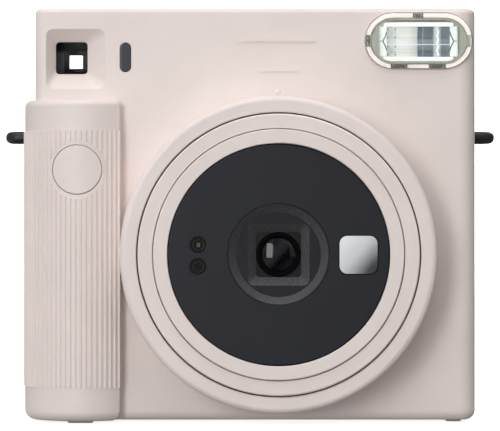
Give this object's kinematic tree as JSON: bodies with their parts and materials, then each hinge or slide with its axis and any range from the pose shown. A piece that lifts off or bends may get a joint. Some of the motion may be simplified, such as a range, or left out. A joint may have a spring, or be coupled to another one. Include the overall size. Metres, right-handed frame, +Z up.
{
  "type": "instant camera",
  "caption": "Square-format instant camera with a ribbed hand grip, a telescoping round lens barrel turned on by its outer ring, a flash, and a hinged film door at the back.",
  "frame": {"origin": "on the surface the camera stands on, under the middle of its bounding box", "axes": "+X to the right as seen from the front, +Y from the front to the back, +Z up; the lens looks along -Y"},
  "size_m": [0.1426, 0.0576, 0.1194],
  "materials": {
    "casing": "fine satin texture, moulded",
    "black_plastic": "fine matt texture, moulded",
    "face_black": "smooth satin",
    "lens_glass": "polished, coated",
    "clear_plastic": "polished clear",
    "dark_window": "polished, smoked",
    "mirror": "slightly domed, polished",
    "steel": "drawn and ground",
    "reflector": "bright, formed sheet",
    "roller_rubber": "ground",
    "foot_rubber": "soft, moulded",
    "gear_nylon": "unfilled nylon",
    "circuit_board": "solder mask over fibreglass",
    "cell_sleeve": "printed sleeve with no lettering",
    "contact_brass": "plated",
    "capacitor_sleeve": "shrink sleeve",
    "frame_grey": "smooth, grey-green",
    "sensor_filter": "polished filter",
    "dial_white": "smooth"
  },
  "bodies": {
    "root": {"front_cover": "casing", "rear_cover": "casing", "housing_screws": "steel", "feet": "foot_rubber", "strap_lug_left": "black_plastic", "strap_lug_right": "black_plastic", "door_hinge_pin": "steel", "battery_hinge_pin": "steel", "battery_holder": "black_plastic", "batteries": "cell_sleeve", "battery_contacts": "contact_brass", "main_board": "circuit_board", "flash_capacitor": "capacitor_sleeve", "button_switch": "black_plastic", "barrel_sleeve": "black_plastic", "flash_window": "clear_plastic", "flash_frame": "frame_grey", "flash_reflector": "reflector", "flash_tube": "lens_glass", "flash_sensor_window": "dark_window", "viewfinder_front_lens": "lens_glass", "viewfinder_tube": "black_plastic", "eyepiece_lens": "clear_plastic", "light_chamber": "black_plastic", "chassis": "black_plastic", "film_pack": "black_plastic", "motor": "steel", "roller_brackets": "steel", "counter_window": "clear_plastic"},
    "mode_ring": {"mode_ring": "casing"},
    "outer_tier": {"outer_tier": "casing"},
    "inner_tier": {"inner_tier": "casing", "face_plate": "face_black", "lens_hood": "face_black", "lens_cell": "black_plastic", "lens_front_element": "lens_glass", "lens_rear_element": "lens_glass", "lens_retaining_ring": "black_plastic", "shutter_plate": "black_plastic", "selfie_mirror": "mirror", "light_sensor_ring": "black_plastic", "light_sensor_chip": "sensor_filter", "range_sensor_window": "dark_window"},
    "shutter_blade_left": {"shutter_blade_left": "steel"},
    "shutter_blade_right": {"shutter_blade_right": "steel"},
    "shutter_button": {"shutter_button": "casing", "button_spring": "steel"},
    "film_door": {"film_door": "casing", "film_window": "clear_plastic", "pressure_springs": "steel"},
    "door_latch": {"door_latch": "black_plastic"},
    "battery_door": {"battery_door": "casing"},
    "drive_roller": {"drive_roller": "roller_rubber", "drive_roller_gear": "gear_nylon"},
    "pinch_roller": {"pinch_roller": "roller_rubber", "pinch_roller_gear": "gear_nylon"},
    "reduction_gear": {"reduction_gear": "gear_nylon"},
    "motor_pinion": {"motor_pinion": "gear_nylon"},
    "counter_dial": {"counter_dial": "dial_white"},
    "film_pick": {"film_pick": "steel"}
  },
  "joints": [
    {"name": "mode_ring_turn", "type": "hinge", "parent": "root", "child": "mode_ring", "pos_m": [0.0081, -0.02, 0.0486], "axis": [0, 1, 0], "range_deg": [0, 75]},
    {"name": "outer_tier_slide", "type": "slide", "parent": "root", "child": "outer_tier", "axis": [0, -1, 0], "range_m": [0, 0.01]},
    {"name": "inner_tier_slide", "type": "slide", "parent": "outer_tier", "child": "inner_tier", "axis": [0, -1, 0], "range_m": [0, 0.01]},
    {"name": "shutter_blade_left_swing", "type": "hinge", "parent": "inner_tier", "child": "shutter_blade_left", "pos_m": [-0.0004, -0.0123, 0.0426], "axis": [0, 1, 0], "range_deg": [0, 40], "stiffness_Nm_per_rad": 0.0005, "springref_deg": -17.19},
    {"name": "shutter_blade_right_swing", "type": "hinge", "parent": "inner_tier", "child": "shutter_blade_right", "pos_m": [0.0166, -0.0117, 0.0426], "axis": [0, 1, 0], "range_deg": [-40, 0]},
    {"name": "shutter_button_press", "type": "slide", "parent": "root", "child": "shutter_button", "axis": [0, 1, 0], "range_m": [0, 0.0012], "stiffness_N_per_m": 300, "springref_m": -0.001},
    {"name": "film_door_swing", "type": "hinge", "parent": "root", "child": "film_door", "pos_m": [0.062, 0.02575, 0.06], "axis": [0, 0, -1], "range_deg": [0, 110]},
    {"name": "door_latch_slide", "type": "slide", "parent": "root", "child": "door_latch", "axis": [-1, 0, 0], "range_m": [0, 0.004], "stiffness_N_per_m": 150, "springref_m": -0.001},
    {"name": "battery_door_swing", "type": "hinge", "parent": "root", "child": "battery_door", "pos_m": [-0.06385, 0.0205, 0.042], "axis": [0, 0, -1], "range_deg": [0, 95]},
    {"name": "drive_roller_turn", "type": "hinge", "parent": "root", "child": "drive_roller", "pos_m": [0.0081, 0.0052, 0.108], "axis": [1, 0, 0], "continuous": true},
    {"name": "pinch_roller_turn", "type": "hinge", "parent": "root", "child": "pinch_roller", "pos_m": [0.0081, 0.01225, 0.108], "axis": [1, 0, 0], "continuous": true},
    {"name": "reduction_gear_turn", "type": "hinge", "parent": "root", "child": "reduction_gear", "pos_m": [-0.037, 0.0009, 0.10306], "axis": [1, 0, 0], "continuous": true},
    {"name": "motor_pinion_turn", "type": "hinge", "parent": "root", "child": "motor_pinion", "pos_m": [-0.037, -0.00222, 0.09142], "axis": [1, 0, 0], "continuous": true},
    {"name": "counter_dial_turn", "type": "hinge", "parent": "root", "child": "counter_dial", "pos_m": [-0.05, 0.0255, 0.081], "axis": [0, 1, 0], "range_deg": [0, 300]},
    {"name": "film_pick_slide", "type": "slide", "parent": "root", "child": "film_pick", "axis": [0, 0, 1], "range_m": [0, 0.006], "stiffness_N_per_m": 100, "springref_m": -0.001}
  ],
  "couplings": [
    {"joint": "outer_tier_slide", "follows": "mode_ring_turn", "m_per_rad": 0.0076},
    {"joint": "inner_tier_slide", "follows": "mode_ring_turn", "m_per_rad": 0.0076},
    {"joint": "shutter_blade_right_swing", "follows": "shutter_blade_left_swing", "ratio": -1},
    {"joint": "pinch_roller_turn", "follows": "drive_roller_turn", "ratio": -1},
    {"joint": "reduction_gear_turn", "follows": "drive_roller_turn", "ratio": -1.1667},
    {"joint": "motor_pinion_turn", "follows": "drive_roller_turn", "ratio": 3.5}
  ]
}
